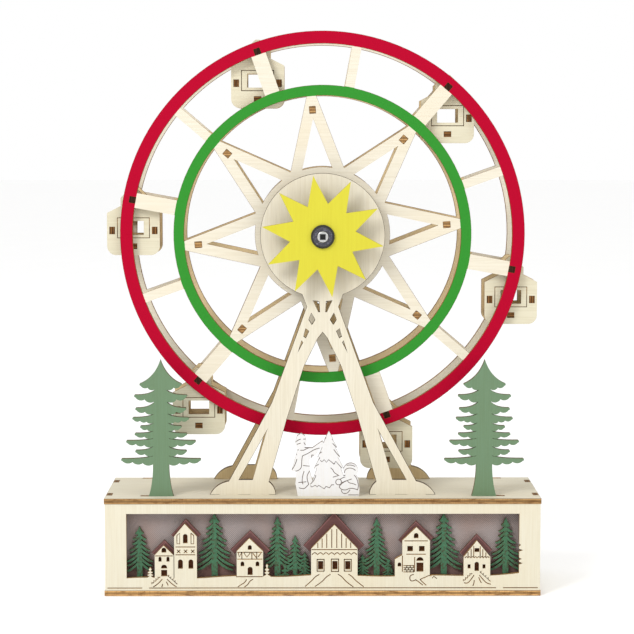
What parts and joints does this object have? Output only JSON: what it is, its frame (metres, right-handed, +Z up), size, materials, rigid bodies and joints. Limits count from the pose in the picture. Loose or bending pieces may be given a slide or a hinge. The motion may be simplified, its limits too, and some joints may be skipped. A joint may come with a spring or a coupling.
{
  "type": "hand cranked toy ferris wheel",
  "caption": "Laser-cut plywood ferris wheel with hanging gondolas, turned by a crank at the rear, on a box base with a cut-out village in its window.",
  "frame": {"origin": "centre of the underside of the bottom board", "axes": "+X to the right seen from the front, -Y towards the front with the village window and the yellow sun, +Z up"},
  "size_m": [0.3132, 0.1221, 0.4042],
  "materials": {
    "box_plywood": "bare laser-cut plywood, burnt edges",
    "support_plywood": "bare laser-cut plywood, burnt edges",
    "roof_brown_paint": "stained dark brown",
    "village_green_paint": "matt dark green paint",
    "backdrop_weave": "fine grey-lilac weave",
    "tree_green_paint": "matt sage green paint",
    "scene_white_paint": "matt white paint with thin engraved lines",
    "wheel_front_plywood": "bare plywood with a red outer ring and a green inner ring painted on its front",
    "wheel_rear_plywood": "bare laser-cut plywood, burnt edges",
    "tie_bar_plywood": "plywood end grain",
    "hanger_bar_plywood": "plywood end grain, burnt dark",
    "dowel_wood": "smooth turned wood",
    "sun_yellow_paint": "matt yellow paint",
    "washer_rubber": "dark, slightly glossy",
    "screw_steel": "bright plated steel",
    "washer_steel": "plain zinc-plated steel",
    "crank_plywood": "bare laser-cut plywood",
    "knob_wood": "smooth turned wood",
    "gondola_plywood": "bare laser-cut plywood, engraved frame"
  },
  "bodies": {
    "base": {"bottom_board": "box_plywood", "deck_board": "box_plywood", "left_side_panel": "box_plywood", "right_side_panel": "box_plywood", "rear_panel": "box_plywood", "front_panel": "box_plywood", "village_roofs_board": "roof_brown_paint", "village_trees_board": "village_green_paint", "village_backdrop": "backdrop_weave", "front_support": "support_plywood", "rear_support": "support_plywood", "left_tree": "tree_green_paint", "right_tree": "tree_green_paint", "winter_scene": "scene_white_paint"},
    "wheel": {"wheel_front_plate": "wheel_front_plywood", "wheel_rear_plate": "wheel_rear_plywood", "tie_bars": "tie_bar_plywood", "hanger_bars": "hanger_bar_plywood", "axle": "dowel_wood", "sun_spacer": "dowel_wood", "front_hub_spacer": "dowel_wood", "rear_hub_spacer": "dowel_wood", "sun": "sun_yellow_paint", "sun_washer": "washer_rubber", "sun_screw": "screw_steel", "crank_arm": "crank_plywood", "crank_washer": "washer_steel", "crank_screw": "screw_steel", "knob_pin": "washer_steel"},
    "crank_knob": {"crank_knob": "knob_wood"},
    "gondola_1": {"gondola_1_front_plate": "gondola_plywood", "gondola_1_rear_plate": "gondola_plywood", "gondola_1_walls": "gondola_plywood", "gondola_1_floor": "gondola_plywood"},
    "gondola_2": {"gondola_2_front_plate": "gondola_plywood", "gondola_2_rear_plate": "gondola_plywood", "gondola_2_walls": "gondola_plywood", "gondola_2_floor": "gondola_plywood"},
    "gondola_3": {"gondola_3_front_plate": "gondola_plywood", "gondola_3_rear_plate": "gondola_plywood", "gondola_3_walls": "gondola_plywood", "gondola_3_floor": "gondola_plywood"},
    "gondola_4": {"gondola_4_front_plate": "gondola_plywood", "gondola_4_rear_plate": "gondola_plywood", "gondola_4_walls": "gondola_plywood", "gondola_4_floor": "gondola_plywood"},
    "gondola_5": {"gondola_5_front_plate": "gondola_plywood", "gondola_5_rear_plate": "gondola_plywood", "gondola_5_walls": "gondola_plywood", "gondola_5_floor": "gondola_plywood"},
    "gondola_6": {"gondola_6_front_plate": "gondola_plywood", "gondola_6_rear_plate": "gondola_plywood", "gondola_6_walls": "gondola_plywood", "gondola_6_floor": "gondola_plywood"}
  },
  "joints": [
    {"name": "wheel_spin", "type": "hinge", "parent": "base", "child": "wheel", "pos_m": [0, 0.0065, 0.2582], "axis": [0, 1, 0], "continuous": true},
    {"name": "crank_knob_spin", "type": "hinge", "parent": "wheel", "child": "crank_knob", "pos_m": [0, 0.0596, 0.2292], "axis": [0, 1, 0], "continuous": true},
    {"name": "gondola_1_swing", "type": "hinge", "parent": "wheel", "child": "gondola_1", "pos_m": [0.09022, 0.0065, 0.36421], "axis": [0, 1, 0], "continuous": true},
    {"name": "gondola_2_swing", "type": "hinge", "parent": "wheel", "child": "gondola_2", "pos_m": [-0.0467, 0.0065, 0.38933], "axis": [0, 1, 0], "continuous": true},
    {"name": "gondola_3_swing", "type": "hinge", "parent": "wheel", "child": "gondola_3", "pos_m": [-0.13691, 0.0065, 0.28333], "axis": [0, 1, 0], "continuous": true},
    {"name": "gondola_4_swing", "type": "hinge", "parent": "wheel", "child": "gondola_4", "pos_m": [-0.09022, 0.0065, 0.15219], "axis": [0, 1, 0], "continuous": true},
    {"name": "gondola_5_swing", "type": "hinge", "parent": "wheel", "child": "gondola_5", "pos_m": [0.0467, 0.0065, 0.12707], "axis": [0, 1, 0], "continuous": true},
    {"name": "gondola_6_swing", "type": "hinge", "parent": "wheel", "child": "gondola_6", "pos_m": [0.13691, 0.0065, 0.23307], "axis": [0, 1, 0], "continuous": true}
  ],
  "couplings": [
    {"joint": "gondola_1_swing", "follows": "wheel_spin", "ratio": -1},
    {"joint": "gondola_2_swing", "follows": "wheel_spin", "ratio": -1},
    {"joint": "gondola_3_swing", "follows": "wheel_spin", "ratio": -1},
    {"joint": "gondola_4_swing", "follows": "wheel_spin", "ratio": -1},
    {"joint": "gondola_5_swing", "follows": "wheel_spin", "ratio": -1},
    {"joint": "gondola_6_swing", "follows": "wheel_spin", "ratio": -1}
  ]
}
